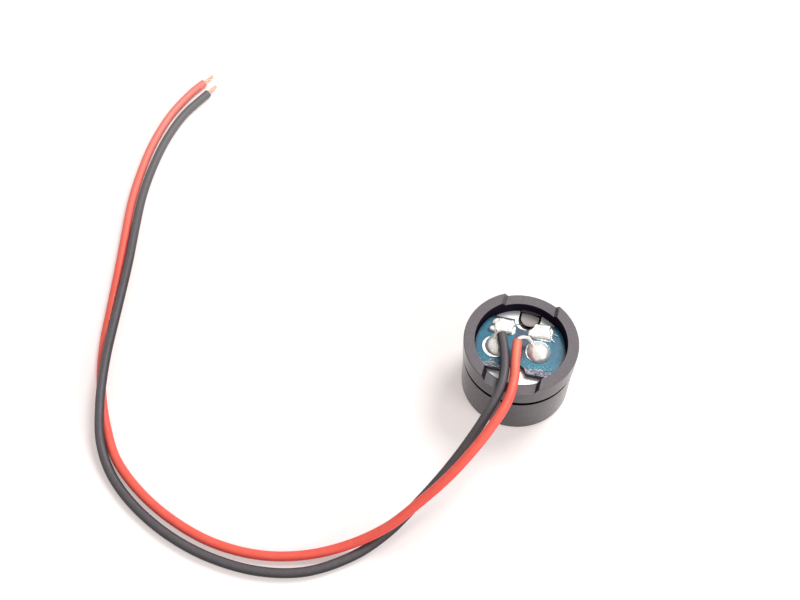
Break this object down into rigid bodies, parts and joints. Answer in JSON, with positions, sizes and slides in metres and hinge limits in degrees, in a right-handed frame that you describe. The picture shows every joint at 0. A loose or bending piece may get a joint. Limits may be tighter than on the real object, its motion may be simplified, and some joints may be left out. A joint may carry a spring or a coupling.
{
  "type": "magnetic buzzer",
  "caption": "Small round wired magnetic buzzer: grey two-part case with a sound hole, blue board with soldered joints in the open end, and a red and a black lead.",
  "frame": {"origin": "centre of the sound face, the flat face the part stands on", "axes": "+Z from the sound face to the open end with the circuit board, -Y towards the slot over which both leads leave, +X to the right of it"},
  "size_m": [0.0562, 0.0628, 0.0091],
  "materials": {
    "cover_plastic": "moulded, fine matt grain on the sound face, slight sheen on the side",
    "ring_plastic": "moulded, satin",
    "spring_steel": "rolled, plain",
    "magnet_ferrite": "ground, matt",
    "soft_iron": "turned, plated",
    "enamelled_copper": "enamelled winding",
    "nickel_plate": "bright nickel plate",
    "solder_mask": "blue solder mask",
    "tinned_copper": "tinned",
    "solder": "bright solder, pitted",
    "tinned_wire": "tinned strand",
    "black_pvc": "extruded insulation, satin",
    "red_pvc": "extruded insulation, satin"
  },
  "bodies": {
    "root": {"case_cover": "cover_plastic", "base_ring": "ring_plastic", "diaphragm": "spring_steel", "diaphragm_weight": "spring_steel", "ring_magnet": "magnet_ferrite", "pole_core": "soft_iron", "coil_winding": "enamelled_copper", "yoke_plate": "nickel_plate", "circuit_board": "solder_mask", "left_copper_track": "tinned_copper", "right_copper_track": "tinned_copper", "left_coil_joint": "solder", "right_coil_joint": "solder", "black_lead_joint": "solder", "red_lead_joint": "solder", "black_conductor_end": "tinned_wire", "red_conductor_end": "tinned_wire", "black_lead": "black_pvc", "red_lead": "red_pvc", "black_bare_tip": "tinned_wire", "red_bare_tip": "tinned_wire"}
  },
  "joints": []
}
